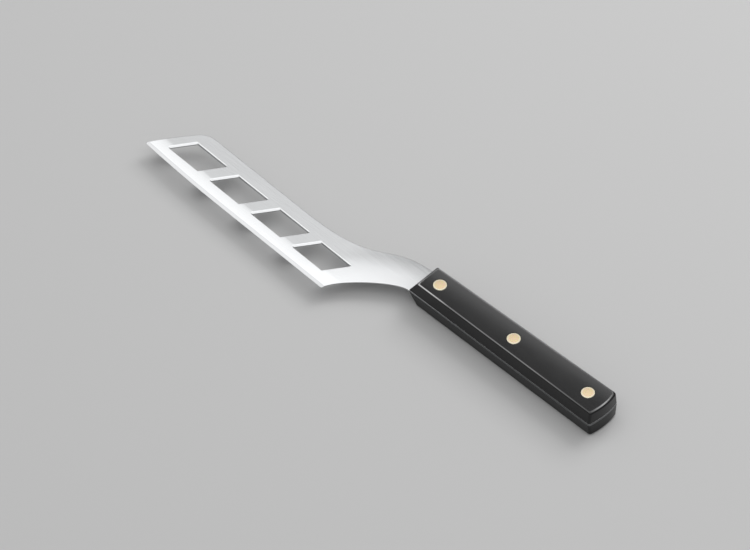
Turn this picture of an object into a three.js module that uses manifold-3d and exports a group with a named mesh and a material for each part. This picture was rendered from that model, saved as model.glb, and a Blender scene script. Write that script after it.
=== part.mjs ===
// A foie gras knife: a thin blade with a row of slanted windows that keep soft slices from clinging,
// a full tang between two black scales, and three flush brass rivets, each of two halves.
// Millimetres. +X runs to the butt, +Y to the spine, +Z up, with the knife lying on its side.

import * as THREE from 'three';
import { mergeVertices } from 'three/addons/utils/BufferGeometryUtils.js';
import Module from 'manifold-3d';

const wasm = await Module();
wasm.setup();

// Steel
const STEEL = 1.5; // thickness of the blank, tang and blade alike

// Handle, drawn from the front of the scales (x = 0) along the handle's middle line (y = 0)
const HANDLE_LENGTH = 121.0; // to the corners of the butt
const FRONT_WIDTH = 16.4; // of the tang where the blade comes out
const BUTT_WIDTH = 20.0; // of the tang at the butt
const BUTT_CROWN = 1.0; // how far the butt bulges beyond its corners
const BUTT_CORNER = 1.4; // radius of the butt's two corners
const SCALE_THICKNESS = 7.3;
const SIDE_DRAFT = 0.8; // how far each side leans in, from the tang to the outer face
const FRONT_LEAN = 4.4; // how far the front leans back, from the tang to the outer face
const FRONT_CORNER = 0.6; // radius of the two front corners
const EDGE_ROUND = 0.7; // radius along the sides and front of the outer face
const BUTT_ROUND = 1.2; // radius along the butt of the outer face

// Rivets
const RIVET_COUNT = 3;
const RIVET_FIRST = 12.8; // from the front of the scales
const RIVET_LAST = 10.2; // from the corners of the butt
const HEAD_DIAMETER = 7.0;
const HEAD_THICKNESS = 1.6;
const HEAD_BREAK = 0.15; // broken edge of the head
const TUBE_DIAMETER = 4.8;
const POST_DIAMETER = 3.0;
const POST_POINT = 0.5; // chamfer that leads the post into its tube
const HEAD_FIT = 0.15; // round a head in its counterbore
const TUBE_FIT = 0.2; // round a tube in its holes
const POST_FIT = 0.15; // round a post in its tube
const END_FIT = 0.4; // left beyond the end of a tube or a post

// Blade, drawn in a band frame: u runs to the tip, v to the spine, both from the front of the scales
const BAND_TILT = 2.65; // degrees that the band rises toward the tip
const SPINE_DROP = 10.16; // from the handle's middle line down to the spine
const BAND_WIDTH = 27.4; // from spine to cutting edge
const BLADE_LENGTH = 156.9; // to the tip of the cutting edge
const TIP_SLANT = 34.5; // degrees that the tip end leans back from square
const TIP_BULGE = 0.35; // how far the tip end bows out of a straight line
const TIP_POINT = 0.8; // radius of the point
const SPINE_CORNER = 10; // radius where the tip end meets the spine
const BELLY_START = 100; // where the cutting edge starts to curve up
const BELLY_RISE = 1.75; // how far it has risen at the tip
const HEEL_REACH = 30.4; // from the scales to the heel
const HEEL_ANGLE = 76.5; // degrees, direction in which the edge leaves the heel for the handle
const HEEL_POINT = 0.6; // radius of the heel
const CHOIL_PULL = 9; // how long the choil curve holds that direction
const CHOIL_EASE = 8.5; // how long it lies along the handle before it meets the scales
const NECK_REACH = 70.2; // from the scales to where the spine starts to climb
const NECK_PULL = 51; // how long the climb holds the spine's direction
const NECK_EASE = 29.5; // how long it lies along the handle before it meets the scales

// Grind, by height above the cutting edge
const GRIND_HEIGHT = 9.2; // where the flat starts to fall away
const BEVEL_HEIGHT = 1.9; // of the fine bevel along the edge
const BEVEL_THICKNESS = 0.62; // of the steel where that bevel starts
const EDGE_THICKNESS = 0.12;
const GRIND_CURVE = 1.5; // power of the fall: 1 is a flat grind, more blends it into the flat

// Windows
const SPINE_RAIL = 7.9; // steel left along the spine
const EDGE_RAIL = 7.35; // steel left along the cutting edge
const WINDOW_SLANT = 33; // degrees that a window's ends lean back from square
const WINDOW_LENGTH = 20.6; // along the row
const WINDOW_CORNER = 0.4; // radius of a window's corners
const BAR = 7.2; // steel between two windows, square to their ends
const TIP_RAIL = 7.1; // steel left along the row before the tip end
const HEEL_RAIL = 3.0; // least steel left along the row before the heel
const TIP_EASE_WIDTH = 2.0; // along the row, of the eased edge on the tip side of each window
const TIP_EASE_DEPTH = 0.5;
const SPINE_EASE_WIDTH = 0.7; // of the finer one on its spine side
const SPINE_EASE_DEPTH = 0.4;
const SPINE_EASE_SHORT = 0.9; // how far that one stops short of the corners
const EASE_FADE = 0.8; // share of them that is lost at both ends of the edge
const EASE_HOLD = 8; // power of that loss: more keeps it nearer to the ends

// Facets
const ROUND_SIDES = 36;
const CURVE_STEPS = 18;
const ROUND_STEPS = 3;
const GRIND_STEPS = 5;
const BELLY_STEPS = 8;
const EASE_STEPS = 8;

const radians = THREE.MathUtils.degToRad;
const vec = (x, y) => new THREE.Vector2(x, y);
const halfSteel = STEEL / 2;
const outerFace = halfSteel + SCALE_THICKNESS;
const headSeat = outerFace - HEAD_THICKNESS;
const overcut = STEEL; // how far a cutter reaches past the face that it cuts

// Solids for cutting, and back to a mesh's geometry

function toSolid(geometry) {
  const bare = geometry.clone();
  bare.deleteAttribute('normal');
  bare.deleteAttribute('uv');
  const merged = mergeVertices(bare, 1e-4);
  const index = merged.index.array;
  const kept = [];
  for (let i = 0; i < index.length; i += 3) {
    const [a, b, c] = index.slice(i, i + 3);
    if (a !== b && b !== c && c !== a) kept.push(a, b, c);
  }
  return new wasm.Manifold(new wasm.Mesh({
    numProp: 3,
    vertProperties: new Float32Array(merged.attributes.position.array),
    triVerts: new Uint32Array(kept),
  }));
}

function toGeometry(solid) {
  const { vertProperties, triVerts } = solid.getMesh();
  const geometry = new THREE.BufferGeometry();
  geometry.setAttribute('position', new THREE.BufferAttribute(vertProperties, 3));
  geometry.setIndex(new THREE.BufferAttribute(triVerts, 1));
  geometry.computeVertexNormals();
  return geometry;
}

// Moves every vertex of a geometry by a rule of its own place.
function reshape(geometry, rule) {
  const position = geometry.attributes.position;
  for (let i = 0; i < position.count; i++) {
    const [x, y, z] = rule(position.getX(i), position.getY(i), position.getZ(i));
    position.setXYZ(i, x, y, z);
  }
  return geometry;
}

// A line to a corner, rounded there on the way to the point after it.
function roundCorner(path, corner, next, radius) {
  const back = path.currentPoint.clone().sub(corner).normalize();
  const ahead = next.clone().sub(corner).normalize();
  const half = back.angleTo(ahead) / 2;
  const centre = back.clone().add(ahead).setLength(radius / Math.sin(half)).add(corner);
  const start = back.clone().multiplyScalar(radius / Math.tan(half)).add(corner);
  const end = ahead.clone().multiplyScalar(radius / Math.tan(half)).add(corner);
  const from = start.clone().sub(centre).angle();
  const to = end.clone().sub(centre).angle();
  path.lineTo(start.x, start.y);
  path.absarc(centre.x, centre.y, radius, from, to, back.cross(ahead) > 0);
}

// A bowed line that stops short of a corner, pointing at it.
function bowTo(path, bow, corner, short) {
  const end = bow.clone().sub(corner).setLength(short).add(corner);
  path.quadraticCurveTo(bow.x, bow.y, end.x, end.y);
}

// The points of an outline, without those that repeat where two of its pieces meet.
function outlinePoints(path, steps) {
  const points = path.getPoints(steps);
  return points.filter((point, i) => point.distanceTo(points.at(i - 1)) > 1e-6);
}

function turned(profile) {
  const points = profile.map(([radius, height]) => vec(radius, height));
  return new THREE.LatheGeometry(points, ROUND_SIDES).rotateX(Math.PI / 2);
}

// The handle's outline, shared by the tang and by every level of a scale

// Half of the tang's width at a distance from the front of the scales.
const halfWidth = (x) => (FRONT_WIDTH + (BUTT_WIDTH - FRONT_WIDTH) * x / HANDLE_LENGTH) / 2;

// The rear of the handle, from the lower side round the butt to the upper side.
// side draws both sides in, butt draws the butt in.
function drawButt(path, side, butt) {
  const corner = HANDLE_LENGTH - butt;
  const reach = halfWidth(corner) - side;
  const crown = vec(corner + 2 * BUTT_CROWN, 0);
  const upper = vec(corner, reach);
  roundCorner(path, vec(corner, -reach), crown, BUTT_CORNER);
  bowTo(path, crown, upper, 2 * BUTT_CORNER);
  roundCorner(path, upper, vec(0, halfWidth(0) - side), BUTT_CORNER);
}

function scaleOutline(front, side, butt) {
  const reach = halfWidth(front) - side;
  const lower = vec(front, -reach);
  const upper = vec(front, reach);
  const path = new THREE.Shape();
  path.moveTo(front, 0);
  roundCorner(path, lower, vec(HANDLE_LENGTH, side - halfWidth(HANDLE_LENGTH)), FRONT_CORNER);
  drawButt(path, side, butt);
  roundCorner(path, upper, vec(front, 0), FRONT_CORNER);
  path.closePath();
  return outlinePoints(path, ROUND_STEPS);
}

// A solid skin over a stack of like outlines, each at its own height, counterclockwise from above.
function loft(levels) {
  const count = levels[0].outline.length;
  const positions = [];
  for (const { outline, height } of levels) {
    for (const point of outline) positions.push(point.x, point.y, height);
  }
  const index = [];
  for (let level = 0; level + 1 < levels.length; level++) {
    for (let i = 0; i < count; i++) {
      const a = level * count + i;
      const b = level * count + (i + 1) % count;
      index.push(a, b, b + count, a, b + count, a + count);
    }
  }
  const last = (levels.length - 1) * count;
  for (const [a, b, c] of THREE.ShapeUtils.triangulateShape(levels[0].outline, [])) index.push(a, c, b);
  for (const [a, b, c] of THREE.ShapeUtils.triangulateShape(levels.at(-1).outline, [])) {
    index.push(last + a, last + b, last + c);
  }
  const geometry = new THREE.BufferGeometry();
  geometry.setAttribute('position', new THREE.Float32BufferAttribute(positions, 3));
  geometry.setIndex(index);
  return geometry;
}

// Rivets: every hole and every piece in it is turned about the same upright line

const rivetPitch = (HANDLE_LENGTH - RIVET_FIRST - RIVET_LAST) / (RIVET_COUNT - 1);
const rivetPlaces = Array.from({ length: RIVET_COUNT }, (_, i) => RIVET_FIRST + i * rivetPitch);
const tubeRadius = TUBE_DIAMETER / 2;
const headRadius = HEAD_DIAMETER / 2;
const postRadius = POST_DIAMETER / 2;
const tubeHole = tubeRadius + TUBE_FIT;

// The upper half of a rivet: a head with a tube that reaches down to just above the other head.
function rivetSocket() {
  const tubeEnd = -headSeat + END_FIT;
  const bore = postRadius + POST_FIT;
  return turned([
    [0, headSeat], [bore, headSeat], [bore, tubeEnd], [tubeRadius, tubeEnd], [tubeRadius, headSeat],
    [headRadius, headSeat], [headRadius, outerFace - HEAD_BREAK],
    [headRadius - HEAD_BREAK, outerFace], [0, outerFace],
  ]);
}

// The lower half: a head with a solid post that fills the tube.
function rivetPost() {
  const postEnd = headSeat - END_FIT;
  return turned([
    [0, -outerFace], [headRadius - HEAD_BREAK, -outerFace], [headRadius, HEAD_BREAK - outerFace],
    [headRadius, -headSeat], [postRadius, -headSeat], [postRadius, postEnd - POST_POINT],
    [postRadius - POST_POINT, postEnd], [0, postEnd],
  ]);
}

// Scales: a slab that leans in from the tang, rounded along its outer face and bored for the rivets

function scaleSolid() {
  const largest = Math.max(EDGE_ROUND, BUTT_ROUND);
  const rounded = (height, radius) => {
    const into = Math.max(0, height - SCALE_THICKNESS + radius);
    return radius - Math.sqrt(Math.max(0, radius ** 2 - into ** 2));
  };
  const heights = [0];
  for (let i = 0; i <= ROUND_STEPS; i++) {
    heights.push(SCALE_THICKNESS - largest + largest * Math.sin(Math.PI / 2 * i / ROUND_STEPS));
  }
  const slab = toSolid(loft(heights.map((height) => {
    const share = height / SCALE_THICKNESS;
    const edge = rounded(height, EDGE_ROUND);
    const front = FRONT_LEAN * share + edge;
    const side = SIDE_DRAFT * share + edge;
    const butt = rounded(height, BUTT_ROUND);
    return { height: halfSteel + height, outline: scaleOutline(front, side, butt) };
  })));
  const headHole = headRadius + HEAD_FIT;
  const top = outerFace + overcut;
  const bore = turned([
    [0, 0], [tubeHole, 0], [tubeHole, headSeat], [headHole, headSeat], [headHole, top], [0, top],
  ]);
  return rivetPlaces.reduce((rest, x) => rest.subtract(toSolid(bore.clone().translate(x, 0, 0))), slab);
}

// Blade

const bandCos = Math.cos(radians(BAND_TILT));
const bandSin = Math.sin(radians(BAND_TILT));
const onBand = (u, v) => vec(v * bandSin - u * bandCos, u * bandSin + v * bandCos);
const spineLine = -SPINE_DROP;
const edgeLine = spineLine - BAND_WIDTH;
const bellyAt = (u) => BELLY_RISE * (Math.max(0, u - BELLY_START) / (BLADE_LENGTH - BELLY_START)) ** 2;

const tipHeight = edgeLine + BELLY_RISE;

// How far along the band the tip end lies at v.
const tipEnd = (v) => BLADE_LENGTH - (v - tipHeight) * Math.tan(radians(TIP_SLANT));

// The blank in plan: round the tang, along the spine, down the tip end, back along the edge,
// and up the choil.
function blankOutline() {
  const path = new THREE.Shape();
  const reach = halfWidth(0);
  const flare = (halfWidth(HANDLE_LENGTH) - reach) / HANDLE_LENGTH;
  path.moveTo(0, -reach);
  drawButt(path, 0, 0);
  path.lineTo(0, reach);

  const climb = onBand(NECK_REACH, spineLine);
  const pull = onBand(NECK_REACH - NECK_PULL, spineLine);
  path.bezierCurveTo(-NECK_EASE, reach - NECK_EASE * flare, pull.x, pull.y, climb.x, climb.y);

  const middle = (spineLine + edgeLine) / 2;
  const bow = onBand(tipEnd(middle) + 2 * TIP_BULGE, middle);
  const shoulder = onBand(tipEnd(spineLine), spineLine);
  const tip = onBand(BLADE_LENGTH, tipHeight);
  const bellyMiddle = onBand((BLADE_LENGTH + BELLY_START) / 2, edgeLine);
  roundCorner(path, shoulder, bow, SPINE_CORNER);
  bowTo(path, bow, tip, 2 * TIP_POINT);
  roundCorner(path, tip, bellyMiddle, TIP_POINT);
  const start = onBand(BELLY_START, edgeLine);
  path.quadraticCurveTo(bellyMiddle.x, bellyMiddle.y, start.x, start.y);

  const heel = onBand(HEEL_REACH, edgeLine);
  const leaving = vec(Math.cos(radians(HEEL_ANGLE)), Math.sin(radians(HEEL_ANGLE)));
  const rise = leaving.multiplyScalar(CHOIL_PULL).add(heel);
  roundCorner(path, heel, rise, HEEL_POINT);
  path.bezierCurveTo(rise.x, rise.y, -CHOIL_EASE, CHOIL_EASE * flare - reach, 0, -reach);
  return new THREE.Shape(outlinePoints(path, CURVE_STEPS));
}

// The row of windows: as many as fit between the tip and the heel.
// Each is placed by its foot, the tip-side corner on its lower side.
const windowTop = spineLine - SPINE_RAIL;
const windowBottom = edgeLine + EDGE_RAIL;
const windowPitch = WINDOW_LENGTH + BAR / Math.cos(radians(WINDOW_SLANT));
const windowFirst = tipEnd(windowBottom) - TIP_RAIL;
const rowLength = windowFirst - HEEL_REACH - HEEL_RAIL;
const windowCount = 1 + Math.floor((rowLength - WINDOW_LENGTH) / windowPitch);
const windowFeet = Array.from({ length: windowCount }, (_, i) => windowFirst - i * windowPitch);
const onSlant = (foot, v) => onBand(foot - (v - windowBottom) * Math.tan(radians(WINDOW_SLANT)), v);

function windowOutline(foot) {
  const far = foot - WINDOW_LENGTH;
  const corners = [
    onSlant(foot, windowBottom),
    onSlant(foot, windowTop),
    onSlant(far, windowTop),
    onSlant(far, windowBottom),
  ];
  const path = new THREE.Path();
  const start = corners[0].clone().add(corners[3]).multiplyScalar(0.5);
  path.moveTo(start.x, start.y);
  corners.forEach((corner, i) => roundCorner(path, corner, corners[i + 1] ?? start, WINDOW_CORNER));
  path.closePath();
  return new THREE.Path(outlinePoints(path, ROUND_STEPS));
}

// The blade's section, flat to the grind and then falling away to the edge,
// drawn as height over thickness.
function grindSection() {
  const half = (height) => {
    if (height >= GRIND_HEIGHT) return halfSteel;
    if (height >= BEVEL_HEIGHT) {
      const fall = (GRIND_HEIGHT - height) / (GRIND_HEIGHT - BEVEL_HEIGHT);
      return halfSteel - (halfSteel - BEVEL_THICKNESS / 2) * fall ** GRIND_CURVE;
    }
    return (EDGE_THICKNESS + (BEVEL_THICKNESS - EDGE_THICKNESS) * height / BEVEL_HEIGHT) / 2;
  };
  const heights = [-EDGE_THICKNESS, BEVEL_HEIGHT];
  for (let i = 1; i <= GRIND_STEPS; i++) {
    heights.push(BEVEL_HEIGHT + (GRIND_HEIGHT - BEVEL_HEIGHT) * i / GRIND_STEPS);
  }
  heights.push(BAND_WIDTH + SPINE_DROP + BUTT_WIDTH + HANDLE_LENGTH * bandSin);
  const right = heights.map((height) => vec(height, -half(height)));
  const left = heights.map((height) => vec(height, half(height))).reverse();
  return new THREE.Shape([...right, ...left]);
}

// That section drawn out from past the tip to past the butt, lifted along the belly to follow the edge.
function grindSolid() {
  const steps = BELLY_STEPS + 1;
  const far = BLADE_LENGTH + overcut;
  const stations = [];
  for (let i = 0; i <= BELLY_STEPS; i++) stations.push(far + (BELLY_START - far) * i / BELLY_STEPS);
  stations.push(-HANDLE_LENGTH - BUTT_WIDTH);
  const bar = new THREE.ExtrudeGeometry(grindSection(), { depth: steps, steps, bevelEnabled: false });
  return toSolid(reshape(bar, (height, z, station) => {
    const u = stations[Math.round(station)];
    const place = onBand(u, edgeLine + bellyAt(u) + height);
    return [place.x, place.y, z];
  }));
}

// What the buffing wheel takes off one edge of a window, on the upper face, fading at both ends.
// placeAt gives the place at a distance across that edge and a share of its length.
function easedEdge(width, depth, placeAt) {
  const section = new THREE.Shape();
  section.moveTo(-width, overcut);
  section.lineTo(-width, -depth);
  section.lineTo(0, -depth);
  section.quadraticCurveTo(width / 2, 0, width, 0);
  section.lineTo(width, overcut);
  section.closePath();
  const strip = new THREE.ExtrudeGeometry(section, {
    depth: 1,
    steps: EASE_STEPS,
    bevelEnabled: false,
    curveSegments: ROUND_STEPS,
  });
  return toSolid(reshape(strip, (across, fall, share) => {
    const fade = 1 - EASE_FADE * (2 * share - 1) ** EASE_HOLD;
    const place = placeAt(across > 0 ? across * fade : across, share);
    return [place.x, place.y, halfSteel + (fall < 0 ? fall * fade : fall)];
  }));
}

// The two edges of a window that a slice slides over.
function easedEdges(foot) {
  const risen = (share) => windowBottom + (windowTop - windowBottom) * share;
  const tipSide = (across, share) => onSlant(foot + across, risen(share));
  const passed = (share) => SPINE_EASE_SHORT + (WINDOW_LENGTH - 2 * SPINE_EASE_SHORT) * share;
  const spineSide = (across, share) => onSlant(foot - passed(share), windowTop + across);
  return [
    easedEdge(TIP_EASE_WIDTH, TIP_EASE_DEPTH, tipSide),
    easedEdge(SPINE_EASE_WIDTH, SPINE_EASE_DEPTH, spineSide),
  ];
}

function bladeSolid() {
  const outline = blankOutline();
  outline.holes.push(...windowFeet.map(windowOutline));
  for (const x of rivetPlaces) {
    outline.holes.push(new THREE.Path().absarc(x, 0, tubeHole, 0, 2 * Math.PI, true));
  }
  const blank = new THREE.ExtrudeGeometry(outline, {
    depth: STEEL + 2 * overcut,
    bevelEnabled: false,
    curveSegments: CURVE_STEPS,
  }).translate(0, 0, -halfSteel - overcut);
  let blade = toSolid(blank).intersect(grindSolid());
  for (const upper of windowFeet.flatMap(easedEdges)) {
    blade = blade.subtract(upper).subtract(upper.mirror([0, 0, 1]));
  }
  return blade;
}

// Assembly

const steel = () => new THREE.MeshStandardMaterial({ color: 0xd7d9da, roughness: 0.25, metalness: 1 });
const black = () => new THREE.MeshStandardMaterial({ color: 0x141415, roughness: 0.2, metalness: 0 });
const brass = () => new THREE.MeshStandardMaterial({ color: 0xe2cd98, roughness: 0.3, metalness: 1 });

const knife = new THREE.Group();

function add(name, solid, material) {
  const mesh = new THREE.Mesh(toGeometry(solid), material);
  mesh.name = name;
  knife.add(mesh);
  return mesh;
}

const scale = scaleSolid();
add('blade', bladeSolid(), steel());
add('scale_upper', scale, black());
add('scale_lower', scale.mirror([0, 0, 1]), black());
rivetPlaces.forEach((x, i) => {
  add(`rivet_${i + 1}_socket`, toSolid(rivetSocket()), brass()).position.x = x;
  add(`rivet_${i + 1}_post`, toSolid(rivetPost()), brass()).position.x = x;
});

// The origin lies under the middle of the knife, on the surface that it rests on.
const box = new THREE.Box3().setFromObject(knife);
const middle = box.getCenter(new THREE.Vector3());
knife.position.set(-middle.x, -middle.y, -box.min.z);
knife.updateMatrixWorld(true);

export default knife;
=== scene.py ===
# %% [markdown]
# # A foie gras knife
# The knife is nine pieces: one blank of thin steel that is blade, neck and tang at once, two black
# scales, and three brass rivets of two halves each. The CAD model holds their sizes and places, so
# it is opened first and stays as it is. Every piece made below stands where its CAD node stands.

# %% Open the frame
import math

import bmesh
import bpy
from mathutils import Matrix, Vector
from mathutils.geometry import interpolate_bezier
from mathutils.kdtree import KDTree


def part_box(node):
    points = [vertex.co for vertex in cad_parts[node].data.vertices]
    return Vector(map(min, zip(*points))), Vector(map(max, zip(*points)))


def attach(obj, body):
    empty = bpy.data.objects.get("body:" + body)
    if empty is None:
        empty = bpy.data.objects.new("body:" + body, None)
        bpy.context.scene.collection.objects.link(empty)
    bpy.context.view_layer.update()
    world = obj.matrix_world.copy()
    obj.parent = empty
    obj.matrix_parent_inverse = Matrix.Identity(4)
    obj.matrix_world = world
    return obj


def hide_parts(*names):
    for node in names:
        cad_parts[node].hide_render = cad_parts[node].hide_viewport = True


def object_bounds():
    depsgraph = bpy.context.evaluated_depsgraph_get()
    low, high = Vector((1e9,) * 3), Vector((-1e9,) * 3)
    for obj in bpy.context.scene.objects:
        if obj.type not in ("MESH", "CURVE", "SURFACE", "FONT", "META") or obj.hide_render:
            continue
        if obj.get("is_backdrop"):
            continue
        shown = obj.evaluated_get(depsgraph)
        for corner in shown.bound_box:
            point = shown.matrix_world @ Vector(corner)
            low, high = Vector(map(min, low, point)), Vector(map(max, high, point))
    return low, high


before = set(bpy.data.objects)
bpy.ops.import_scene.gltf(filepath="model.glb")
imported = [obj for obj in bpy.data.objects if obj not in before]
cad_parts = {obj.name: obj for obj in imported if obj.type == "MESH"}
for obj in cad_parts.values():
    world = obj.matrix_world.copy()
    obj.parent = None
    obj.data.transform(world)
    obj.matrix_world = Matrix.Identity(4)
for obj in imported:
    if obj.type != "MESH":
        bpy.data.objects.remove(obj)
cad_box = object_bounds()
print("CAD nodes:", ", ".join(sorted(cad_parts)))

# %% [markdown]
# A cutler measures a handle from where the scales start, so the shapes below are drawn in knife
# millimetres: x runs from the front of the scales to the butt, y from the handle's middle line to
# the spine, and z from the middle of the steel. What the frame already knows is read from it:
# the thickness of the steel and of the scales, and the places and sizes of the rivets.

# %% Knife millimetres
MM = 0.001
scale_low, scale_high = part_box("scale_upper")
blade_low, blade_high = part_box("blade")
sockets = [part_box(f"rivet_{number}_socket") for number in (1, 2, 3)]

HALF_STEEL = (blade_high.z - blade_low.z) / MM / 2
SCALE_THICKNESS = (scale_high.z - scale_low.z) / MM
OUTER_FACE = HALF_STEEL + SCALE_THICKNESS
HEAD_RADIUS = (sockets[0][1].x - sockets[0][0].x) / MM / 2
RIVET_PLACES = [((low.x + high.x) / 2 - scale_low.x) / MM for low, high in sockets]

middle_line = (sockets[0][0].y + sockets[0][1].y) / 2
middle_height = (blade_low.z + blade_high.z) / 2
knife = Matrix.Translation((scale_low.x, middle_line, middle_height)) @ Matrix.Scale(MM, 4)
print(f"steel {2 * HALF_STEEL:.2f} mm, scales {SCALE_THICKNESS:.2f} mm")
print("rivets at", [round(x, 1) for x in RIVET_PLACES])

# %% [markdown]
# ## Camera
# The knife was photographed with a long lens, from about halfway between its side and its butt and
# from well above. A long lens keeps the two sides of the blade parallel. The camera turns about an
# upright line and then tips down, and it backs off along its own line of sight.

# %% Camera
AZIMUTH = math.radians(43.77)
ELEVATION = math.radians(49.55)
LENS = 768
SENSOR = 36
FAR = 100
DISTANCE = 7.733
LOOK_AT = Vector((-0.0011, 0.0008, 0.0080))

lens = bpy.data.cameras.new("camera")
lens.lens = LENS
lens.sensor_width = SENSOR
lens.clip_end = FAR
camera = bpy.data.objects.new("camera", lens)
bpy.context.scene.collection.objects.link(camera)
camera.rotation_euler = (math.pi / 2 - ELEVATION, 0, AZIMUTH)
toward_camera = Vector((
    math.sin(AZIMUTH) * math.cos(ELEVATION),
    -math.cos(AZIMUTH) * math.cos(ELEVATION),
    math.sin(ELEVATION),
))
camera.location = LOOK_AT + toward_camera * DISTANCE
bpy.context.scene.camera = camera
print("camera at", [round(value, 3) for value in camera.location])

# %% [markdown]
# ## Studio
# Steel and gloss black show what is round them more than their own colour, so the room is part of
# the finish. The knife lies on a pale floor in a room with grey walls, and a bright cove runs round
# its duller ceiling. Seen from the camera, the flat of the blade mirrors the height where the wall
# brightens into the cove, so the flat is grey and all that leans toward the camera is white. The
# room is a sky whose level changes with height, because a sky has no rim that the steel would show.

# %% Floor and room
FLOOR_SIZE = 40.0
FLOOR_COLOUR = (0.56, 0.56, 0.56, 1)
FLOOR_ROUGHNESS = 0.8
FLOOR_SHINE = 0.1
WALL = 0.38
SHADE = 0.29
COVE = 1.32
CEILING = 1.02
ROOM_LEVELS = [(0.5, WALL), (0.705, SHADE), (0.82, COVE), (0.88, COVE), (1.0, CEILING)]

floor_mesh = bpy.data.meshes.new("floor")
corner = FLOOR_SIZE / 2
floor_mesh.from_pydata(
    [(-corner, -corner, 0), (corner, -corner, 0), (corner, corner, 0), (-corner, corner, 0)],
    [],
    [(0, 1, 2, 3)],
)
floor = bpy.data.objects.new("floor", floor_mesh)
bpy.context.scene.collection.objects.link(floor)
paper = bpy.data.materials.new("floor_paper")
paper.use_nodes = True
paper_shader = paper.node_tree.nodes["Principled BSDF"]
paper_shader.inputs["Base Color"].default_value = FLOOR_COLOUR
paper_shader.inputs["Roughness"].default_value = FLOOR_ROUGHNESS
paper_shader.inputs["Specular IOR Level"].default_value = FLOOR_SHINE
floor_mesh.materials.append(paper)
floor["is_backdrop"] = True

room = bpy.data.worlds.new("room")
room.use_nodes = True
background = room.node_tree.nodes["Background"]
background.inputs["Strength"].default_value = COVE
direction = room.node_tree.nodes.new("ShaderNodeTexCoord")
parts = room.node_tree.nodes.new("ShaderNodeSeparateXYZ")
rise = room.node_tree.nodes.new("ShaderNodeValToRGB")
rise.color_ramp.interpolation = "EASE"
stops = rise.color_ramp.elements
while len(stops) < len(ROOM_LEVELS):
    stops.new(1)
for stop, (height, level) in zip(stops, ROOM_LEVELS):
    stop.position = height
    stop.color = (level / COVE, level / COVE, level / COVE, 1)
room.node_tree.links.new(direction.outputs["Generated"], parts.inputs["Vector"])
room.node_tree.links.new(parts.outputs["Z"], rise.inputs["Fac"])
room.node_tree.links.new(rise.outputs["Color"], background.inputs["Color"])
bpy.context.scene.world = room
bpy.context.scene.view_settings.view_transform = "Standard"
print("room levels:", [(round(stop.position, 3), round(stop.color[0] * COVE, 2)) for stop in stops])

# %% [markdown]
# One lamp lights the floor from behind the knife, so that the near side stands in a soft shade. It
# doesn't show in what is polished, because the steel would be lost in it from some sides. A card
# hangs low beyond the knife, where the far half of the handle mirrors it, and shows only in the
# scales. The black face mirrors its blurred border as a slow fade from one side to the other. A
# lamp's level is its brightness beside that of a white wall, as the room's is, so that they can be
# weighed together.

# %% Lamps
KEY_TOWARD = (0.0, 0.72, 0.69)
KEY_DISTANCE = 1.3
KEY_SIZE = (0.7, 0.7)
KEY_LEVEL = 4.2
CARD_SEEN_AT = (60, 34)
CARD_DISTANCE = 0.2
CARD_SIZE = (0.16, 0.06)
CARD_LEVEL = 2.5
CARD_TURN = math.radians(2.2)


def softbox(name, aim, toward, distance, size, level):
    """A rectangular lamp that faces a point from a direction and a distance, at a level."""
    width, height = size
    lamp = bpy.data.lights.new(name, "AREA")
    lamp.shape = "RECTANGLE"
    lamp.size = width
    lamp.size_y = height
    lamp.energy = level * math.pi * width * height
    holder = bpy.data.objects.new(name, lamp)
    bpy.context.scene.collection.objects.link(holder)
    direction = Vector(toward).normalized()
    holder.location = aim + direction * distance
    holder.rotation_euler = direction.to_track_quat("Z", "Y").to_euler()
    holder.visible_camera = False
    return holder


card_aim = knife @ Vector((*CARD_SEEN_AT, OUTER_FACE))
mirrored = Vector((-toward_camera.x, -toward_camera.y, toward_camera.z))

key = softbox("key", LOOK_AT, KEY_TOWARD, KEY_DISTANCE, KEY_SIZE, KEY_LEVEL)
key.visible_glossy = False
card = softbox("card", card_aim, mirrored, CARD_DISTANCE, CARD_SIZE, CARD_LEVEL)
card.rotation_euler = (0, 0, CARD_TURN)
card.visible_diffuse = False

# %% [markdown]
# ## Finishes
# All three finishes are made of the same few things: noise that can be drawn out along one
# direction, a range, a mix of two colours, and a slight lift of the surface. They are methods of a
# finish, so that each recipe below reads as a list of what the maker did to the piece. Most of a
# noise lies in the middle of its range, so some recipes spread that middle out.

# %% Finish
NOISE_SPAN = (0.3, 0.7)


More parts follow.
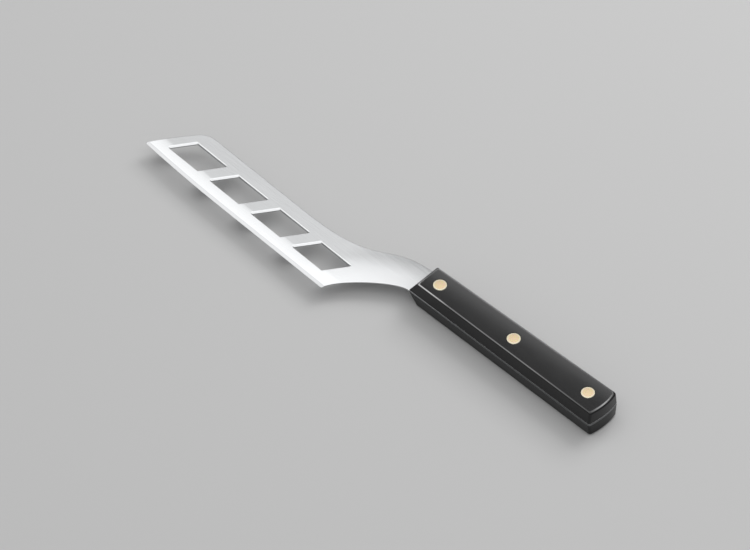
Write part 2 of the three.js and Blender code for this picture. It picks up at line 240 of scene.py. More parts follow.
class Finish:
    """A material and the few kinds of node that the finishes are made of."""

    def __init__(self, name):
        self.material = bpy.data.materials.new(name)
        self.material.use_nodes = True
        self.nodes = self.material.node_tree.nodes
        self.link = self.material.node_tree.links.new
        self.sockets = self.nodes["Principled BSDF"].inputs

    def node(self, kind, **settings):
        """A new node with its settings."""
        made = self.nodes.new("ShaderNode" + kind)
        for name, value in settings.items():
            setattr(made, name, value)
        return made

    def place(self):
        """Where a point lies in its piece's own space."""
        return self.node("TexCoord").outputs["Object"]

    def painted(self, name):
        """A number that the mesh carries at each point."""
        return self.node("Attribute", attribute_name=name).outputs["Fac"]

    def noise(self, along, across, detail, turn=0):
        """Noise that is drawn out along one direction, in waves per metre."""
        mapping = self.node("Mapping")
        mapping.inputs["Rotation"].default_value = (0, 0, turn)
        mapping.inputs["Scale"].default_value = (along, across, across)
        noise = self.node("TexNoise")
        noise.inputs["Scale"].default_value = 1
        noise.inputs["Detail"].default_value = detail
        self.link(self.place(), mapping.inputs["Vector"])
        self.link(mapping.outputs["Vector"], noise.inputs["Vector"])
        return noise.outputs["Fac"]

    def ranged(self, value, low, high, start=0, end=1, kind="LINEAR"):
        """A value between start and end, taken to the range from low to high."""
        node = self.node("MapRange", interpolation_type=kind)
        names = ("From Min", "From Max", "To Min", "To Max")
        for name, number in zip(names, (start, end, low, high)):
            node.inputs[name].default_value = number
        self.link(value, node.inputs["Value"])
        return node.outputs["Result"]

    def scaled_sum(self, value, factor, other):
        """Some of one value, added to another."""
        node = self.node("Math", operation="MULTIPLY_ADD")
        node.inputs[1].default_value = factor
        self.link(value, node.inputs[0])
        self.link(other, node.inputs[2])
        return node.outputs["Value"]

    def product(self, first, second):
        """Two values multiplied."""
        node = self.node("Math", operation="MULTIPLY")
        self.link(first, node.inputs[0])
        self.link(second, node.inputs[1])
        return node.outputs["Value"]

    def mixed(self, factor, first, second):
        """A colour between two, each a colour or another node's output."""
        node = self.node("Mix", data_type="RGBA")
        self.link(factor, node.inputs["Factor"])
        for colour, socket in ((first, node.inputs["A"]), (second, node.inputs["B"])):
            if isinstance(colour, tuple):
                socket.default_value = (*colour, 1)
            else:
                self.link(colour, socket)
        return node.outputs["Result"]

    def lifted(self, value, height, strength):
        """Lets a value lift the surface by up to a height in millimetres."""
        bump = self.node("Bump")
        bump.inputs["Strength"].default_value = strength
        bump.inputs["Distance"].default_value = height * MM
        self.link(value, bump.inputs["Height"])
        self.link(bump.outputs["Normal"], self.sockets["Normal"])


print("a finish has", [name for name in vars(Finish) if not name.startswith("_")])

# %% [markdown]
# The blade is polished and then drawn along a belt, which leaves a fine grain along its length.
# The grain is a noise that is stretched far along the blade and squeezed across it. It moves the
# colour and the roughness a little, and lifts the surface by less than a hundredth of a millimetre.
# The fine bevel comes from a stone and the walls from a punch, so both are duller, and the mesh
# says how much. The walls are also darker than any steel, most of all on the tang, and that part
# is painted shade.

# %% Steel
BAND_TILT = math.radians(2.65)
STEEL_DARK = (0.79, 0.80, 0.81)
STEEL_LIGHT = (0.88, 0.89, 0.90)
# The dull colour is far darker than steel: a honed finish on the bevel, mostly painted shade on the
# walls.
STEEL_DULL_AND_SHADE = (0.16, 0.164, 0.168)
GRAIN = (60, 5000, 4)
GRAIN_LIFT = (0.004, 0.3)
BELT_ROUGHNESS = (0.15, 0.23)
DULL_ROUGHNESS = 0.15

steel = Finish("drawn_steel")
steel.sockets["Metallic"].default_value = 1
grain = steel.noise(*GRAIN, BAND_TILT)
dullness = steel.painted("dull")
streaks = steel.ranged(grain, 0, 1, *NOISE_SPAN)
drawn = steel.mixed(streaks, STEEL_DARK, STEEL_LIGHT)
# The dull mark darkens the colour, on the walls partly as painted shade.
steel.link(steel.mixed(dullness, drawn, STEEL_DULL_AND_SHADE), steel.sockets["Base Color"])
belt = steel.ranged(streaks, *BELT_ROUGHNESS)
steel.link(steel.scaled_sum(dullness, DULL_ROUGHNESS, belt), steel.sockets["Roughness"])
steel.lifted(grain, *GRAIN_LIFT)
print("steel:", len(steel.nodes), "nodes")

# %% [markdown]
# The scales are a hard black plastic, polished after the rivets are in. Polishing leaves a soft
# unevenness that only the reflections show. Hands and cloths rub the rounded edges first, so the
# mesh carries a number for how worn a point is, and the same number paints a highlight. There the
# black is paler, partly wear and partly painted highlight, its gloss is a little broken, and it
# shines far more than plastic can, so that the bright line round the handle is a painted highlight.

# %% Black
BLACK_DEEP = (0.003, 0.003, 0.0033)
BLACK_SOFT = (0.006, 0.006, 0.0064)
# The paler black of the worn edges is partly wear and partly painted highlight, and their shine is
# far past plastic's, a painted highlight line.
BLACK_WORN_HIGHLIGHT = (0.014, 0.014, 0.0145)
SHINE_FACE = 1.40
SHINE_EDGE = 5.5
POLISH = (90, 260, 3)
POLISH_LIFT = (0.01, 0.05)
POLISH_ROUGHNESS = (0.09, 0.14)
RUBS = (60, 900, 2)
RUB_LEVELS = (0.8, 1)
RUB_ROUGHNESS = 0.08

black = Finish("polished_black")
polish = black.noise(*POLISH)
rubs = black.ranged(black.noise(*RUBS), *RUB_LEVELS, *NOISE_SPAN)
# The worn mark paints the highlight line along the edges as well as their wear.
rubbed_and_highlight = black.product(black.painted("worn"), rubs)
black.link(black.ranged(rubbed_and_highlight, SHINE_FACE, SHINE_EDGE), black.sockets["IOR"])
tone = black.mixed(polish, BLACK_DEEP, BLACK_SOFT)
black.link(black.mixed(rubbed_and_highlight, tone, BLACK_WORN_HIGHLIGHT), black.sockets["Base Color"])
gloss = black.ranged(polish, *POLISH_ROUGHNESS)
black.link(black.scaled_sum(rubbed_and_highlight, RUB_ROUGHNESS, gloss), black.sockets["Roughness"])
black.lifted(polish, *POLISH_LIFT)
print("black:", len(black.nodes), "nodes")

# %% [markdown]
# The brass heads are ground flush with the scales and buffed. The buff leaves fine rings. Soft
# spokes of redder and yellower brass are partly a tone that varies and partly a painted sheen, for
# the sheen that a buffed face turns with the light, and the paler rim is a painted highlight, for
# the light on the broken rim. A rivet's own space has its axis at the origin, so the distance from
# the axis gives the rings and the rim. The direction from the axis gives the spokes. The place on
# the head breaks them up, and the place of the rivet shifts them, so that no two heads are alike.

# %% Brass
# Redder and yellower brass: partly a tone that varies, partly painted sheen.
BRASS_RED = (1.0, 0.71, 0.57)
BRASS_YELLOW = (0.95, 0.84, 0.44)
# The paler rim colour is a painted highlight on the head's rim.
BRASS_RIM_HIGHLIGHT = (0.97, 0.89, 0.69)
RIM_START = 1.2
RIM_END = 0.3
SHEEN_SPOKES = 1.3
SPOKE_DETAIL = 3
SPOKE_SPAN = (0.38, 0.62)
MOTTLE = 700
SHIFT = 90
RINGS = 9000
RING_DETAIL = 2
RING_LIFT = (0.004, 0.3)
RING_ROUGHNESS = (0.16, 0.28)

brass = Finish("buffed_brass")
brass.sockets["Metallic"].default_value = 1
levelled = brass.node("VectorMath", operation="MULTIPLY")
levelled.inputs[1].default_value = (1, 1, 0)
brass.link(brass.place(), levelled.inputs[0])
on_head = levelled.outputs["Vector"]
radius = brass.node("VectorMath", operation="LENGTH")
brass.link(on_head, radius.inputs[0])
from_axis = radius.outputs["Value"]
rim_highlight_span = [(HEAD_RADIUS - short) * MM for short in (RIM_START, RIM_END)]
# This ring mask paints the rim's highlight into the colour.
rim = brass.ranged(from_axis, 0, 1, *rim_highlight_span, kind="SMOOTHSTEP")
rings = brass.node("TexNoise", noise_dimensions="1D")
rings.inputs["Scale"].default_value = RINGS
rings.inputs["Detail"].default_value = RING_DETAIL
brass.link(from_axis, rings.inputs["W"])
outward = brass.node("VectorMath", operation="NORMALIZE")
brass.link(on_head, outward.inputs[0])
spread = outward.outputs["Vector"]
rivet_place = brass.node("ObjectInfo").outputs["Location"]
for place, shift in ((on_head, MOTTLE), (rivet_place, SHIFT)):
    shifted = brass.node("VectorMath", operation="MULTIPLY_ADD")
    shifted.inputs[1].default_value = (shift, shift, 0)
    brass.link(place, shifted.inputs[0])
    brass.link(spread, shifted.inputs[2])
    spread = shifted.outputs["Vector"]
# The spokes paint the buffed face's sheen into the colour, along with its uneven tone.
sheen_spokes = brass.node("TexNoise")
sheen_spokes.inputs["Scale"].default_value = SHEEN_SPOKES
sheen_spokes.inputs["Detail"].default_value = SPOKE_DETAIL
brass.link(spread, sheen_spokes.inputs["Vector"])
yellowness_and_sheen = brass.ranged(sheen_spokes.outputs["Fac"], 0, 1, *SPOKE_SPAN)
face = brass.mixed(yellowness_and_sheen, BRASS_RED, BRASS_YELLOW)
brass.link(brass.mixed(rim, face, BRASS_RIM_HIGHLIGHT), brass.sockets["Base Color"])
brass.link(brass.ranged(rings.outputs["Fac"], *RING_ROUGHNESS), brass.sockets["Roughness"])
brass.lifted(rings.outputs["Fac"], *RING_LIFT)
print("brass:", len(brass.nodes), "nodes")

# %% [markdown]
# ## Drawing outlines
# All the pieces start from a flat outline, and all of these are straight lines, rounded corners and
# a few curves. A path is a list of points that grows as a pencil would draw it, always with the
# material on its left.

# %% Pencil
CORNER_STEPS = 8
CURVE_STEPS = 40
BOW_PULL = 2 / 3
REPEAT = 1e-5


def round_to(path, corner, onward, radius):
    """Draws to a corner and round it, toward the point after it."""
    back = (path[-1] - corner).normalized()
    ahead = (onward - corner).normalized()
    half = back.angle(ahead) / 2
    centre = corner + (back + ahead).normalized() * radius / math.sin(half)
    spoke = corner + back * radius / math.tan(half) - centre
    sweep = math.copysign(math.pi - 2 * half, -back.cross(ahead))
    for step in range(CORNER_STEPS + 1):
        path.append(centre + Matrix.Rotation(sweep * step / CORNER_STEPS, 2) @ spoke)


def curve_to(path, pull, ease, end):
    """Draws a curve that leaves toward pull and arrives from ease."""
    path.extend(interpolate_bezier(path[-1], pull, ease, end, CURVE_STEPS)[1:])


def bow_to(path, bow, end):
    """Draws a bowed line that leaves toward bow and arrives from it."""
    curve_to(path, path[-1].lerp(bow, BOW_PULL), end.lerp(bow, BOW_PULL), end)


def short_of(corner, before, distance):
    """The point that lies a distance before a corner."""
    return corner + (before - corner).normalized() * distance


def without_repeats(path):
    """The points of a closed path, without those that lie on the one before them."""
    return [point for i, point in enumerate(path) if (point - path[i - 1]).length > REPEAT]


def inset(path, distances):
    """The same closed path, with each point moved to its left by its own distance."""
    moved = []
    for i, (point, distance) in enumerate(zip(path, distances)):
        before = (point - path[i - 1]).normalized()
        after = (path[(i + 1) % len(path)] - point).normalized()
        left = Vector((-before.y - after.y, before.x + after.x))
        moved.append(point + left * distance / (1 + before.dot(after)))
    return moved


print("a corner takes", CORNER_STEPS, "steps and a curve", CURVE_STEPS)

# %% [markdown]
# The tang and the scales share one outline: a long taper, widest at the butt, with a butt that is
# bowed and has rounded corners. It takes how far to draw in its front, its sides and its butt, so
# that it also gives every level of a scale. A finger grips the front of the lower side. The two
# ends of the stretch where its wear fades, and where the palm starts on both sides, are points of
# the outline, because the wear of the scales, and the highlight painted with it, changes there.

# %% Handle outline
HANDLE_LENGTH = 121.0
FRONT_WIDTH = 16.4
BUTT_WIDTH = 20.0
BUTT_CROWN = 1.0
BUTT_CORNER = 1.4
FRONT_CORNER = 0.6
GRIP_FADE = (13, 25)
PALM_START = 85


def half_width(x):
    """Half of the tang's width at x."""
    return (FRONT_WIDTH + (BUTT_WIDTH - FRONT_WIDTH) * x / HANDLE_LENGTH) / 2


def draw_butt(path, side, butt):
    """Draws the rear of the handle, from its lower side round to its upper side."""
    corner = HANDLE_LENGTH - butt
    reach = half_width(corner) - side
    crown = Vector((corner + 2 * BUTT_CROWN, 0))
    upper = Vector((corner, reach))
    round_to(path, Vector((corner, -reach)), crown, BUTT_CORNER)
    bow_to(path, crown, short_of(upper, crown, 2 * BUTT_CORNER))
    round_to(path, upper, Vector((0, half_width(0) - side)), BUTT_CORNER)


def scale_outline(front, side, butt):
    """The outline of a scale, drawn in by these lengths from the tang's."""
    reach = half_width(front) - side
    path = [Vector((front, 0))]
    lower_butt = Vector((HANDLE_LENGTH, side - half_width(HANDLE_LENGTH)))
    round_to(path, Vector((front, -reach)), lower_butt, FRONT_CORNER)
    path.extend(Vector((x, side - half_width(x))) for x in (*GRIP_FADE, PALM_START))
    draw_butt(path, side, butt)
    path.append(Vector((PALM_START, half_width(PALM_START) - side)))
    round_to(path, Vector((front, reach)), Vector((front, 0)), FRONT_CORNER)
    return path


print("the tang's outline has", len(scale_outline(0, 0, 0)), "points")

# %% [markdown]
# The blade is a straight band that lies a little out of line with the handle, so it is drawn in a
# frame of its own: u runs from the scales to the tip and v up to the spine. Two curves lead from
# the handle into it, one down the back of the neck and one up the choil from the heel.

# %% Blade outline
SPINE_LINE = -10.16
BAND_WIDTH = 27.4
EDGE_LINE = SPINE_LINE - BAND_WIDTH
BLADE_LENGTH = 156.9
TIP_SLANT = math.radians(34.5)
TIP_BULGE = 0.35
TIP_POINT = 0.8
SPINE_CORNER = 10
BELLY_START = 100
BELLY_RISE = 1.75
HEEL_REACH = 30.4
HEEL_ANGLE = math.radians(76.5)
HEEL_POINT = 0.6
CHOIL_PULL = 9
CHOIL_EASE = 8.5
NECK_REACH = 70.2
NECK_PULL = 51
NECK_EASE = 29.5

ALONG = Vector((-math.cos(BAND_TILT), math.sin(BAND_TILT)))
ACROSS = Vector((math.sin(BAND_TILT), math.cos(BAND_TILT)))


def on_band(u, v):
    """A place on the blade in knife millimetres."""
    return ALONG * u + ACROSS * v


def belly(u):
    """How far the cutting edge has risen at u."""
    return BELLY_RISE * (max(0, u - BELLY_START) / (BLADE_LENGTH - BELLY_START)) ** 2


def tip_end(v):
    """How far along the band the tip end lies at v."""
    return BLADE_LENGTH - (v - EDGE_LINE - BELLY_RISE) * math.tan(TIP_SLANT)


NECK_TOP = Vector((0, half_width(0)))
NECK_CURVE = (
    Vector((-NECK_EASE, half_width(-NECK_EASE))),
    on_band(NECK_REACH - NECK_PULL, SPINE_LINE),
    on_band(NECK_REACH, SPINE_LINE),
)
HEEL = on_band(HEEL_REACH, EDGE_LINE)
CHOIL_CURVE = (
    HEEL + Vector((math.cos(HEEL_ANGLE), math.sin(HEEL_ANGLE))) * CHOIL_PULL,
    Vector((-CHOIL_EASE, -half_width(-CHOIL_EASE))),
    Vector((0, -half_width(0))),
)


def blank_outline():
    """Round the tang, along the spine, down the tip end, back along the edge and up the choil."""
    path = [CHOIL_CURVE[-1]]
    draw_butt(path, 0, 0)
    path.append(NECK_TOP)
    curve_to(path, *NECK_CURVE)

    middle = (SPINE_LINE + EDGE_LINE) / 2
    bow = on_band(tip_end(middle) + 2 * TIP_BULGE, middle)
    tip = on_band(BLADE_LENGTH, EDGE_LINE + BELLY_RISE)
    belly_middle = on_band((BLADE_LENGTH + BELLY_START) / 2, EDGE_LINE)
    round_to(path, on_band(tip_end(SPINE_LINE), SPINE_LINE), bow, SPINE_CORNER)
    bow_to(path, bow, short_of(tip, bow, 2 * TIP_POINT))
    round_to(path, tip, belly_middle, TIP_POINT)
    bow_to(path, belly_middle, on_band(BELLY_START, EDGE_LINE))

    round_to(path, HEEL, CHOIL_CURVE[0], HEEL_POINT)
    curve_to(path, *CHOIL_CURVE)
    return without_repeats(path)


print("the blank's outline has", len(blank_outline()), "points")

# %% [markdown]
# The windows are cut through the band in one row, each a slanted box with crisp corners. A window
# is named by its foot: how far along the band its lower corner on the tip side lies.

# %% Windows
SPINE_RAIL = 7.9
EDGE_RAIL = 7.35
TIP_RAIL = 7.1
BAR = 7.2
WINDOW_SLANT = math.radians(33)
WINDOW_LENGTH = 20.6
WINDOW_CORNER = 0.4
WINDOW_COUNT = 4

WINDOW_TOP = SPINE_LINE - SPINE_RAIL
WINDOW_BOTTOM = EDGE_LINE + EDGE_RAIL
first_foot = tip_end(WINDOW_BOTTOM) - TIP_RAIL
window_pitch = WINDOW_LENGTH + BAR / math.cos(WINDOW_SLANT)
WINDOW_FEET = [first_foot - i * window_pitch for i in range(WINDOW_COUNT)]


def on_slant(foot, v):
    """A place on the slanted line that rises from a foot."""
    return on_band(foot - (v - WINDOW_BOTTOM) * math.tan(WINDOW_SLANT), v)


def window_outline(foot):
    """Round a window, with the steel on the left."""
    far = foot - WINDOW_LENGTH
    corners = [
        on_slant(foot, WINDOW_BOTTOM),
        on_slant(foot, WINDOW_TOP),
        on_slant(far, WINDOW_TOP),
        on_slant(far, WINDOW_BOTTOM),
    ]
    path = [(corners[0] + corners[3]) / 2]
    for corner, onward in zip(corners, corners[1:] + path[:1]):
        round_to(path, corner, onward, WINDOW_CORNER)
    return without_repeats(path)


print("window feet at", [round(foot, 1) for foot in WINDOW_FEET])

# %% [markdown]
# ## Blade
# The blank is stamped from sheet and its edges are broken, more on the blade and neck than on the
# tang, where the scales lie flush with it. In Blender that is a plate: every outline becomes a
# stack of rings, up the wall and round the broken edges, and the two faces are filled with the
# windows left open. A few more rings lie on both faces beside the outer edge, so that its shade
# ends cleanly, and many round a window, because its edges get eased below. The wall itself is
# marked as dull, which darkens its colour: partly a duller punched finish and partly painted
# shade, most on the tang.

# %% Plate
EDGE_BREAK = 0.2
CRISP_BREAK = 0.08
BREAK_STEPS = 4
# The walls' dull mark is partly a duller finish and partly painted shade, darkest on the tang.
BLADE_WALL_DULL_AND_SHADE = 0.5
TANG_WALL_DULL_AND_SHADE = 1.0
TUBE_HOLE = 2.6
OUTER_SHELVES = (0.3, 0.42, 0.55)
WINDOW_SHELVES = (0.2, 0.35, 0.5, 0.65, 0.8, 1.0, 1.2, 1.4, 1.6, 1.8)
ROUND_SIDES = 48


def circle(radius, centre):
    """A ring with the material on its left, so it runs clockwise about a hole."""
    turns = [-2 * math.pi * side / ROUND_SIDES for side in range(ROUND_SIDES)]
    return [Vector((centre + radius * math.cos(turn), radius * math.sin(turn))) for turn in turns]


def at_height(path, height):
    """A path as a level ring."""
    return [Vector((*point, height)) for point in path]


def skin(shape, rings):
    """Lays faces over a stack of rings with equal counts, and returns the rings' corners."""
    rows = [[shape.verts.new(point) for point in ring] for ring in rings]
    for lower, upper in zip(rows, rows[1:]):
        for i in range(len(lower)):
            shape.faces.new((lower[i - 1], lower[i], upper[i], upper[i - 1]))
    return rows


def fill(shape, rings):
    """Fills the flat between rings."""
    edges = [shape.edges.get((ring[i - 1], ring[i])) for ring in rings for i in range(len(ring))]
    bmesh.ops.triangle_fill(shape, edges=edges, use_beauty=True)


def wall(path, breaks, shelves=()):
    """Rings from the lower face up the wall to the upper face, with both edges broken round."""
    upper = []
    for step in range(BREAK_STEPS + 1):
        turn = math.pi / 2 * step / BREAK_STEPS
        moved = inset(path, [size * (1 - math.cos(turn)) for size in breaks])
        heights = [HALF_STEEL - size * (1 - math.sin(turn)) for size in breaks]
        upper.append([Vector((*point, height)) for point, height in zip(moved, heights)])
    for shelf in shelves:
        upper.append(at_height(inset(path, [shelf] * len(path)), HALF_STEEL))
    lower = [[Vector((x, y, -z)) for x, y, z in ring] for ring in reversed(upper)]
    return lower + upper


blade = bmesh.new()
dull = blade.verts.layers.float.new("dull")
blank = blank_outline()
outer_breaks = [EDGE_BREAK if point.x < 0 else CRISP_BREAK for point in blank]
stacks = [skin(blade, wall(blank, outer_breaks, OUTER_SHELVES))]
for foot in WINDOW_FEET:
    path = window_outline(foot)
    stacks.append(skin(blade, wall(path, [CRISP_BREAK] * len(path), WINDOW_SHELVES)))
for x in RIVET_PLACES:
    path = circle(TUBE_HOLE, x)
    stacks.append(skin(blade, wall(path, [CRISP_BREAK] * len(path))))
# The walls take the dull mark, which also paints them darker as shade.
for stack in stacks:
    middle = len(stack) // 2
    for ring in stack[middle - 1:middle + 1]:
        for vert in ring:
            vert[dull] = BLADE_WALL_DULL_AND_SHADE if vert.co.x < 0 else TANG_WALL_DULL_AND_SHADE
fill(blade, [stack[0] for stack in stacks])
fill(blade, [stack[-1] for stack in stacks])
bmesh.ops.recalc_face_normals(blade, faces=blade.faces)
print("the blank has", len(blade.faces), "faces")

# %% [markdown]
# Three things change the thickness of the blank. Below the windows it is ground thinner toward the
# edge. The edges of each window are eased with a wheel so that a slice slides over them, widely on
# the tip side and finely on the spine side. And the buff takes about a fifth of a millimetre off
# the neck at its two edges, more toward the heel and less in its middle, which is why the light
# fades across it. So the plate is first scored with lines where the thickness will bend, and then
# every point's height is scaled to the thickness at its place. The belly is unbent while the rows
# of the grind are scored, so that they follow the curved edge.

# %% Score lines
GRIND_HEIGHT = 9.2
GRIND_ROWS = 28
BEVEL_HEIGHT = 1.9
BEVEL_LINE = 0.04
BELLY_CUTS = 20
CROWN_START = -60
CROWN_CUTS = 50
CROWN_ROWS = 36
ON_LINE = 1e-4


def score(shape, place, normal):
    """Cuts every face along an upright plane, and takes nothing away."""
    everything = shape.verts[:] + shape.edges[:] + shape.faces[:]
    bmesh.ops.bisect_plane(
        shape, geom=everything, dist=ON_LINE, plane_co=(*place, 0), plane_no=(*normal, 0)
    )


def bend_belly(shape, share):
    """Moves every point along its share of the belly's rise."""
    for vert in shape.verts:
        lift = ACROSS * belly(vert.co.xy.dot(ALONG)) * share
        vert.co.xy = vert.co.xy + lift


for cut in range(BELLY_CUTS):
    u = BELLY_START + (BLADE_LENGTH - BELLY_START) * cut / BELLY_CUTS
    score(blade, on_band(u, 0), ALONG)

bend_belly(blade, -1)
for height in (BEVEL_HEIGHT - BEVEL_LINE, BEVEL_HEIGHT + BEVEL_LINE):
    score(blade, on_band(0, EDGE_LINE + height), ACROSS)
for row in range(1, GRIND_ROWS + 1):
    height = BEVEL_HEIGHT + (GRIND_HEIGHT - BEVEL_HEIGHT) * row / GRIND_ROWS
    score(blade, on_band(0, EDGE_LINE + height), ACROSS)
bend_belly(blade, 1)

for cut in range(1, CROWN_CUTS + 1):
    score(blade, (CROWN_START * (1 - cut / CROWN_CUTS), 0), (1, 0))
for row in range(1, CROWN_ROWS):
    y = NECK_TOP.y + (WINDOW_BOTTOM - NECK_TOP.y) * row / CROWN_ROWS
    score(blade, (0, y), (0, 1))
print("scored into", len(blade.faces), "faces")

# %% [markdown]
# Each change is a function that says what it takes off one face. The first is the grind. Its fall
# starts slowly, so that it blends into the flat, and a narrow straight bevel ends it.

# %% Grind
GRIND_CURVE = 1.5
BEVEL_THICKNESS = 0.62
EDGE_THICKNESS = 0.12


def ground(height):
    """What the grind and the bevel take off at a height above the cutting edge."""
    if height >= GRIND_HEIGHT:
        return 0
    if height >= BEVEL_HEIGHT:
        fall = (GRIND_HEIGHT - height) / (GRIND_HEIGHT - BEVEL_HEIGHT)
        return (HALF_STEEL - BEVEL_THICKNESS / 2) * fall ** GRIND_CURVE
    rise = max(0, height) / BEVEL_HEIGHT
    return HALF_STEEL - (EDGE_THICKNESS + (BEVEL_THICKNESS - EDGE_THICKNESS) * rise) / 2


for height in (0, BEVEL_HEIGHT, GRIND_HEIGHT):
    thickness = 2 * (HALF_STEEL - ground(height))
    print(f"{height} mm above the edge the steel is {thickness:.2f} mm thick")

# %% [markdown]
# The ease follows the windows' outlines, and the crown follows the curves of the neck, so both need
# the way to the nearest point of a path. A tree of densely drawn points answers that quickly. Each
# point of a window also knows which way it faces, and with that how wide and deep its ease is. The
# fall steepens toward the wall, so that most of it leans and catches the bright top of the room.

# %% Ease
DENSE = 0.05
TIP_EASE = (1.25, 0.42)
SPINE_EASE = (0.55, 0.28)
EASE_HOLD = 4


def densely(path):
    """Points close together along a path."""
    for start, end in zip(path, path[1:]):
        steps = math.ceil((end - start).length / DENSE)
        for step in range(steps):
            yield start.lerp(end, step / steps)


def tree(points):
    """A tree that finds the nearest of the points."""
    grown = KDTree(len(points))
    for i, point in enumerate(points):
        grown.insert((*point, 0), i)
    grown.balance()
    return grown


tip_side = on_band(math.cos(WINDOW_SLANT), math.sin(WINDOW_SLANT))
rim_points = []
rim_eases = []
for foot in WINDOW_FEET:
    path = window_outline(foot)
    points = list(densely(path + path[:1]))
    for i, point in enumerate(points):
        run = (points[(i + 1) % len(points)] - points[i - 1]).normalized()
        outward = Vector((-run.y, run.x))
        at_tip = max(0, outward.dot(tip_side)) ** EASE_HOLD
        at_spine = max(0, outward.dot(ACROSS)) ** EASE_HOLD
        pairs = zip(TIP_EASE, SPINE_EASE)
        rim_points.append(point)
        rim_eases.append([max(at_tip * wide, at_spine * fine) for wide, fine in pairs])
rims = tree(rim_points)


def eased(place):
    """What the wheel takes off there."""
    _, index, away = rims.find((*place, 0))
    width, depth = rim_eases[index]
    return depth * (1 - away / width) ** 2 if away < width else 0


print(len(rim_points), "points round the windows")

# %% [markdown]
# The crown is deepest at the two edges of the neck. Along the spine it fades out toward the blade,
# and along the choil it swells from the scales to the heel.

# %% Crown
SPINE_CROWN = (0.19, 11)
CHOIL_CROWN = (0.20, 17)
CROWN_FADE = (12, 42)
HEEL_SWELL = 1.3
SEAM = 0.01

spine_path = [NECK_TOP]
curve_to(spine_path, *NECK_CURVE)
spine_edge = tree(list(densely(spine_path)))
choil_path = [HEEL]
curve_to(choil_path, *CHOIL_CURVE)
choil_edge = tree(list(densely(choil_path)))


def portion(value, start, end):
    """How far a value has come from start to end, held between 0 and 1."""
    return min(1, max(0, (value - start) / (end - start)))


def domed(edge, place, crown):
    """What a crown takes off at a place, from how near the edge it is."""
    depth, reach = crown
    return depth * max(0, 1 - edge.find((*place, 0))[2] / reach) ** 2


def buffed(place):
    """What the buff takes off the neck there."""
    if not CROWN_START < place.x < SEAM:
        return 0
    start, end = CROWN_FADE
    fade = portion(-place.x, end, start)
    swell = 1 + HEEL_SWELL * min(1, place.x / HEEL.x)
    at_spine = fade * domed(spine_edge, place, SPINE_CROWN)
    return at_spine + swell * domed(choil_edge, place, CHOIL_CROWN)


print("the neck is", SPINE_CROWN[0], "and", CHOIL_CROWN[0], "mm lower at its edges")

# %% [markdown]
# Now the plate gets its thickness. The crown goes with the share of steel that the grind has left,
# so that the fine bevel stays whole at the heel, and the bevel is marked as dull. The crown ends at
# the front of the scales, so the shade breaks along that seam.

# %% Thin the blank
BEVEL_DULL = 0.22

for vert in blade.verts:
    place = vert.co.xy
    u, v = place.dot(ALONG), place.dot(ACROSS)
    height = v - EDGE_LINE - belly(u) if place.x < 0 else GRIND_HEIGHT
    left = max(EDGE_THICKNESS / 2, HALF_STEEL - ground(height) - eased(place))
    vert.co.z *= left / HALF_STEEL * (1 - buffed(place) / HALF_STEEL)
    if height < BEVEL_HEIGHT:
        vert[dull] = BEVEL_DULL
for edge in blade.edges:
    edge.smooth = any(abs(vert.co.x) > SEAM for vert in edge.verts)
print("thinned", len(blade.verts), "points")

# %% [markdown]
# A finished shape becomes a piece in the same few steps each time: its points go from knife
# millimetres to the frame, edges that turn sharply keep a crisp shade, broad faces set the shade of
# the narrow ones beside them, and the piece is told which CAD node it stands for and which finish
# it takes.

# %% Finish a piece
SHARP = math.radians(40)


def piece(shape, node, finish, place=knife):
    """Turns a shape into the piece that stands for a CAD node."""
    for face in shape.faces:
        face.smooth = True
    for edge in shape.edges:
        if len(edge.link_faces) == 2 and edge.calc_face_angle() > SHARP:
            edge.smooth = False
    mesh = bpy.data.meshes.new(node + "_dressed")
    shape.to_mesh(mesh)
    shape.free()
    mesh.materials.append(finish.material)
    mesh.transform(Matrix.Scale(MM, 4))
    made = bpy.data.objects.new(node + "_dressed", mesh)
    bpy.context.scene.collection.objects.link(made)
    made.location = place.translation
    shade = made.modifiers.new("broad faces lead", "WEIGHTED_NORMAL")
    shade.keep_sharp = True
    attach(made, "root")
    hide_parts(node)
    print(node, len(mesh.polygons), "faces")
    return made


piece(blade, "blade", steel)

# %% [markdown]
# ## Scales
# A scale is a slab that leans in a little from the tang, leans back further at the front, and is
# rounded over along its outer face. It is a stack of outlines, each drawn in by its own lengths,
# with the heights packed where the rounding turns. The top of the rounding is worn, and the same
# mark paints its highlight: most where the finger grips it, less where the palm rubs the middle of
# the butt, and least at the butt's corners. One more ring lies on the outer face, so that the wear
# and its painted highlight end there. Then the two faces are filled round the bores.

# %% Scale
SIDE_DRAFT = 0.8
FRONT_LEAN = 4.4
EDGE_ROUND = 0.7
BUTT_ROUND = 1.2
ROUND_STEPS = 14
# The worn mark set here is also the painted highlight of the edges.
WORN_HIGHLIGHT_REACH = 0.25
WORN_HIGHLIGHT_DEPTH = 0.35
WORN_HIGHLIGHT_FADE = 0.2
REST_WORN_HIGHLIGHT = 0.25
GRIP_SIDE = 6
PALM_WORN_HIGHLIGHT = 0.53
PALM_SIDE = 8
CORNER_WORN_HIGHLIGHT = 0.08
HEAD_THICKNESS = 1.6
HEAD_FIT = 0.15
HEAD_SEAT = OUTER_FACE - HEAD_THICKNESS
HEAD_HOLE = HEAD_RADIUS + HEAD_FIT


def rounding(height, radius):
    """How far a rounded edge has drawn in at a height."""
    into = max(0, height - SCALE_THICKNESS + radius)
    return radius - math.sqrt(max(0, radius ** 2 - into ** 2))


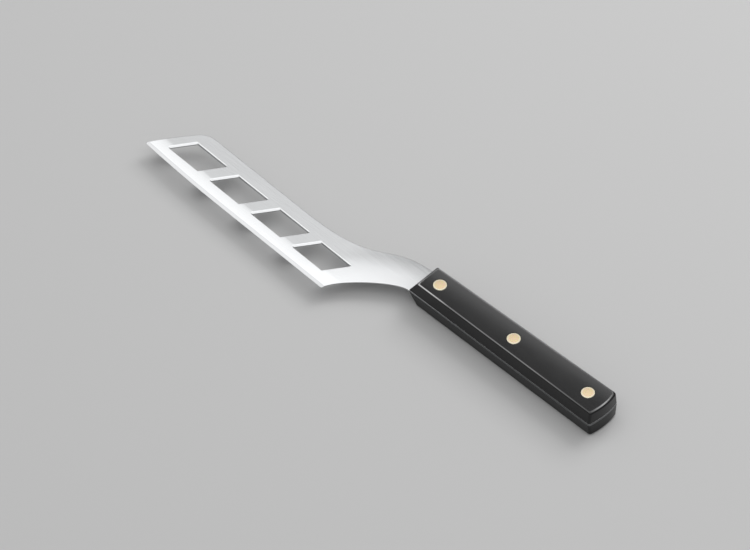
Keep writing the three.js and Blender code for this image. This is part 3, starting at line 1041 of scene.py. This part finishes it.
def wear_and_highlight(place, height):
    """How worn the rounding is and how strong its painted highlight, at a place of the outline and
    a height.
    """
    start, end = GRIP_FADE
    grip = portion(place.x, end, start) * portion(-place.y, 0, GRIP_SIDE)
    behind = portion(place.x, PALM_START, HANDLE_LENGTH)
    palm = CORNER_WORN_HIGHLIGHT + (PALM_WORN_HIGHLIGHT - CORNER_WORN_HIGHLIGHT) * portion(abs(place.y), PALM_SIDE, 0)
    down = portion(height - SCALE_THICKNESS + WORN_HIGHLIGHT_DEPTH, 0, WORN_HIGHLIGHT_FADE)
    return down * (REST_WORN_HIGHLIGHT + (1 - REST_WORN_HIGHLIGHT) * grip + (palm - REST_WORN_HIGHLIGHT) * behind)


def scale_shape(side):
    """A scale on the upper side of the steel (1) or on the lower side (-1)."""
    heights = [0]
    for step in range(ROUND_STEPS + 1):
        turn = math.pi / 2 * step / ROUND_STEPS
        heights.append(SCALE_THICKNESS - BUTT_ROUND * (1 - math.sin(turn)))
    rings = []
    for height in heights:
        share = height / SCALE_THICKNESS
        edge = rounding(height, EDGE_ROUND)
        butt = rounding(height, BUTT_ROUND)
        path = scale_outline(FRONT_LEAN * share + edge, SIDE_DRAFT * share + edge, butt)
        rings.append(at_height(path, HALF_STEEL + height))
    rings.append(at_height(inset(path, [WORN_HIGHLIGHT_REACH] * len(path)), OUTER_FACE))

    shape = bmesh.new()
    worn = shape.verts.layers.float.new("worn")
    walls = skin(shape, rings)
    for height, ring in zip(heights, walls):
        for vert in ring:
            vert[worn] = wear_and_highlight(vert.co, height)
    bores = []
    for x in RIVET_PLACES:
        tube, head = circle(TUBE_HOLE, x), circle(HEAD_HOLE, x)
        steps = [(tube, HALF_STEEL), (tube, HEAD_SEAT), (head, HEAD_SEAT), (head, OUTER_FACE)]
        bores.append(skin(shape, [at_height(*step) for step in steps]))
    fill(shape, [walls[0], *(bore[0] for bore in bores)])
    fill(shape, [walls[-1], *(bore[-1] for bore in bores)])
    if side < 0:
        bmesh.ops.scale(shape, vec=(1, 1, -1), verts=shape.verts)
    bmesh.ops.recalc_face_normals(shape, faces=shape.faces)
    return shape


scales = bpy.data.collections.new("scales")
scales.objects.link(piece(scale_shape(1), "scale_upper", black))
scales.objects.link(piece(scale_shape(-1), "scale_lower", black))
card.light_linking.receiver_collection = scales

# %% [markdown]
# ## Rivets
# Each rivet is two turned halves: a head with a tube, pushed in from above, and a head with a post,
# pressed up into that tube. A turned piece is a stack of circles, so the same skin makes it. The
# rim of each head is broken and the face is left very slightly crowned by the buff.

# %% Rivet halves
HEAD_BREAK = 0.15
HEAD_CROWN = 0.02
CROWN_SHARES = (1, 0.85, 0.7, 0.5, 0.3, 0.1)
TUBE_RADIUS = 2.4
POST_RADIUS = 1.5
POST_FIT = 0.15
POST_POINT = 0.5
END_FIT = 0.4


def turned(profile):
    """A closed turned shape from pairs of radius and height, from underneath round to the top."""
    shape = bmesh.new()
    rings = skin(shape, [at_height(circle(radius, 0), height) for radius, height in profile])
    shape.faces.new(rings[0])
    shape.faces.new(rings[-1])
    bmesh.ops.recalc_face_normals(shape, faces=shape.faces)
    return shape


def crowned(face):
    """The face of a head from its broken rim to its middle."""
    rim = HEAD_RADIUS - HEAD_BREAK
    return [(rim * share, face - HEAD_CROWN * share ** 2) for share in CROWN_SHARES]


def socket():
    """The half with the tube."""
    tube_end = END_FIT - HEAD_SEAT
    bore = POST_RADIUS + POST_FIT
    return turned([
        (bore / 2, HEAD_SEAT),
        (bore, HEAD_SEAT),
        (bore, tube_end),
        (TUBE_RADIUS, tube_end),
        (TUBE_RADIUS, HEAD_SEAT),
        (HEAD_RADIUS, HEAD_SEAT),
        (HEAD_RADIUS, OUTER_FACE - HEAD_BREAK),
        *crowned(OUTER_FACE),
    ])


def post():
    """The half with the post."""
    post_end = HEAD_SEAT - END_FIT
    head = [(radius, -height) for radius, height in reversed(crowned(OUTER_FACE))]
    return turned([
        *head,
        (HEAD_RADIUS, HEAD_BREAK - OUTER_FACE),
        (HEAD_RADIUS, -HEAD_SEAT),
        (POST_RADIUS, -HEAD_SEAT),
        (POST_RADIUS, post_end - POST_POINT),
        (POST_RADIUS - POST_POINT, post_end),
    ])


for number, x in enumerate(RIVET_PLACES, 1):
    axis = knife @ Matrix.Translation((x, 0, 0))
    piece(socket(), f"rivet_{number}_socket", brass, axis)
    piece(post(), f"rivet_{number}_post", brass, axis)

# %% [markdown]
# ## Size
# The dressed knife has to be as large as the CAD model, so both boxes are written down side by
# side.

# %% Sizes and table
boxes = {"cad": cad_box, "visual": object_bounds()}
for name, (low, high) in boxes.items():
    print(name, [round(value / MM, 2) for value in high - low], "mm")
